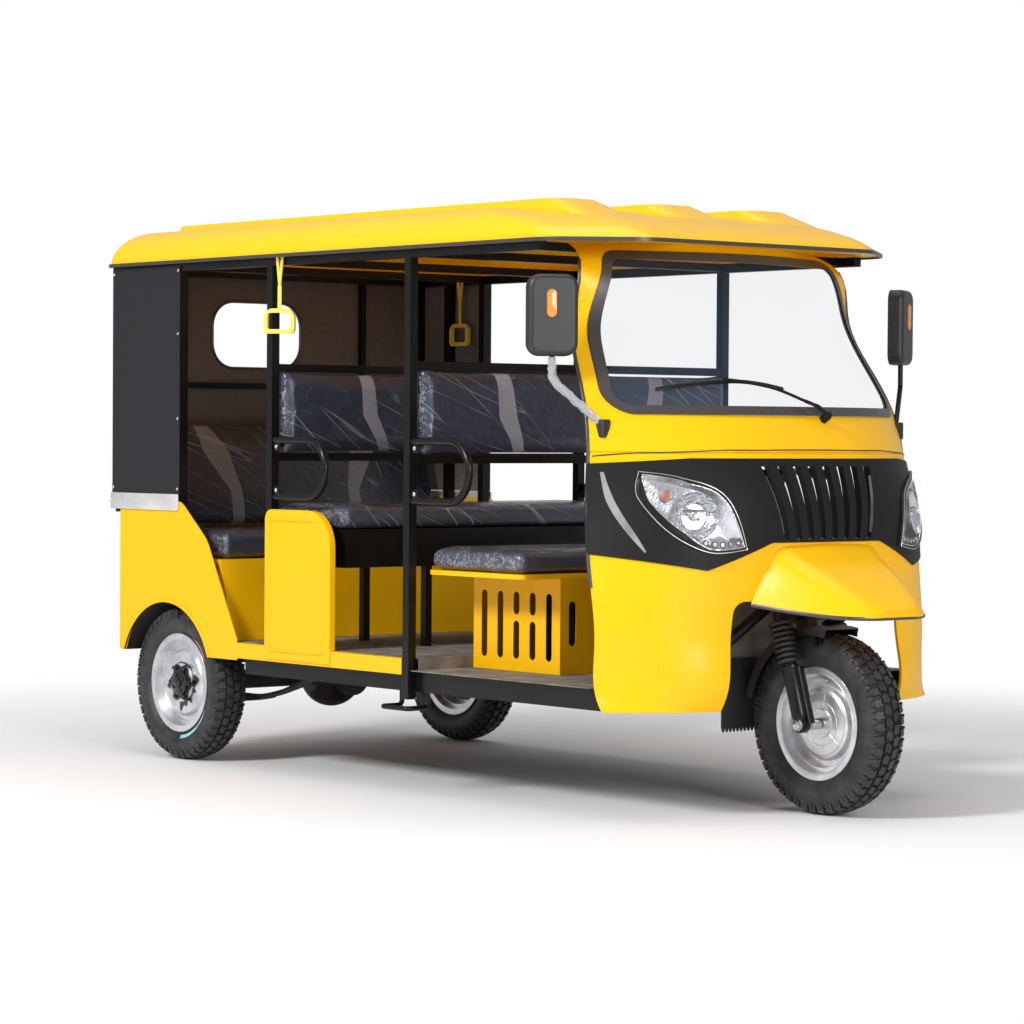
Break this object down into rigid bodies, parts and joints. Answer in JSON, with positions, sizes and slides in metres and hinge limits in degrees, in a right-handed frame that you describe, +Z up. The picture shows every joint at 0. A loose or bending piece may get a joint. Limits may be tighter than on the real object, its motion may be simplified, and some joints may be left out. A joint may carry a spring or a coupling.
{
  "type": "auto rickshaw",
  "caption": "Three-wheeled passenger rickshaw with a steered front wheel, open sides, bench seats, a glazed cab nose and a moulded roof.",
  "frame": {"origin": "on the ground, under the middle of the bounding box", "axes": "+X forwards, +Y to the left, +Z up"},
  "size_m": [3.166, 1.6076, 1.845],
  "materials": {
    "tyre": "matt black rubber",
    "rim": "silver paint",
    "frame_black": "gloss black paint",
    "steel": "plain steel",
    "black_plastic": "fine grain",
    "floor_mat": "grey ribbed mat",
    "yellow_paint": "gloss",
    "band_black": "charcoal, satin",
    "lamp_lens": "clear lens",
    "rubber": "satin",
    "glass": "clear",
    "canvas_inside": "coated canvas",
    "curtain_vinyl": "coated canvas",
    "hem_metal": "satin",
    "seat_vinyl": "dark vinyl under clear film",
    "yellow_webbing": "woven",
    "cast_metal": "rough",
    "lamp_red": "red lens"
  },
  "bodies": {
    "chassis": {"backrests": "seat_vinyl", "cab_shell": "yellow_paint", "chassis_frame": "frame_black", "cross_tubes": "frame_black", "curtain_hems": "hem_metal", "dashboard": "black_plastic", "drive_shaft": "steel", "driver_seat_box": "yellow_paint", "engine_block": "cast_metal", "floor_deck": "floor_mat", "front_fender": "yellow_paint", "grab_handles": "frame_black", "grille_band": "band_black", "hand_straps": "yellow_webbing", "headlamps": "lamp_lens", "leaf_springs": "steel", "middle_bench_frame": "frame_black", "mirror_arms": "frame_black", "mirror_housings": "black_plastic", "mud_flap": "rubber", "rear_axle": "frame_black", "rear_bench_base": "yellow_paint", "rear_quarters": "yellow_paint", "rear_wall": "canvas_inside", "roof_shell": "yellow_paint", "roof_trim": "rubber", "seat_cushions": "seat_vinyl", "side_cages": "frame_black", "side_curtains": "curtain_vinyl", "side_panels": "yellow_paint", "tail_lamps": "lamp_red", "tail_panel": "yellow_paint", "windshield_glass": "glass", "windshield_seal": "rubber"},
    "steering": {"fork": "frame_black", "front_axle": "steel", "shock_absorbers": "frame_black", "handlebar": "frame_black", "front_mudguard": "black_plastic"},
    "front_wheel": {"front_tyre": "tyre", "front_rim": "rim"},
    "rear_wheel_right": {"rear_tyre_right": "tyre", "rear_rim_right": "rim"},
    "rear_wheel_left": {"rear_tyre_left": "tyre", "rear_rim_left": "rim"}
  },
  "joints": [
    {"name": "steering", "type": "hinge", "parent": "chassis", "child": "steering", "pos_m": [1.2624, 0, 0.26264], "axis": [-0.2924, 0, 0.9563], "range_deg": [-38, 38]},
    {"name": "front_wheel_spin", "type": "hinge", "parent": "steering", "child": "front_wheel", "pos_m": [1.293, 0, 0.272], "axis": [0, 1, 0], "continuous": true},
    {"name": "rear_wheel_right_spin", "type": "hinge", "parent": "chassis", "child": "rear_wheel_right", "pos_m": [-1.197, -0.6, 0.264], "axis": [0, 1, 0], "continuous": true},
    {"name": "rear_wheel_left_spin", "type": "hinge", "parent": "chassis", "child": "rear_wheel_left", "pos_m": [-1.197, 0.6, 0.264], "axis": [0, 1, 0], "continuous": true}
  ]
}
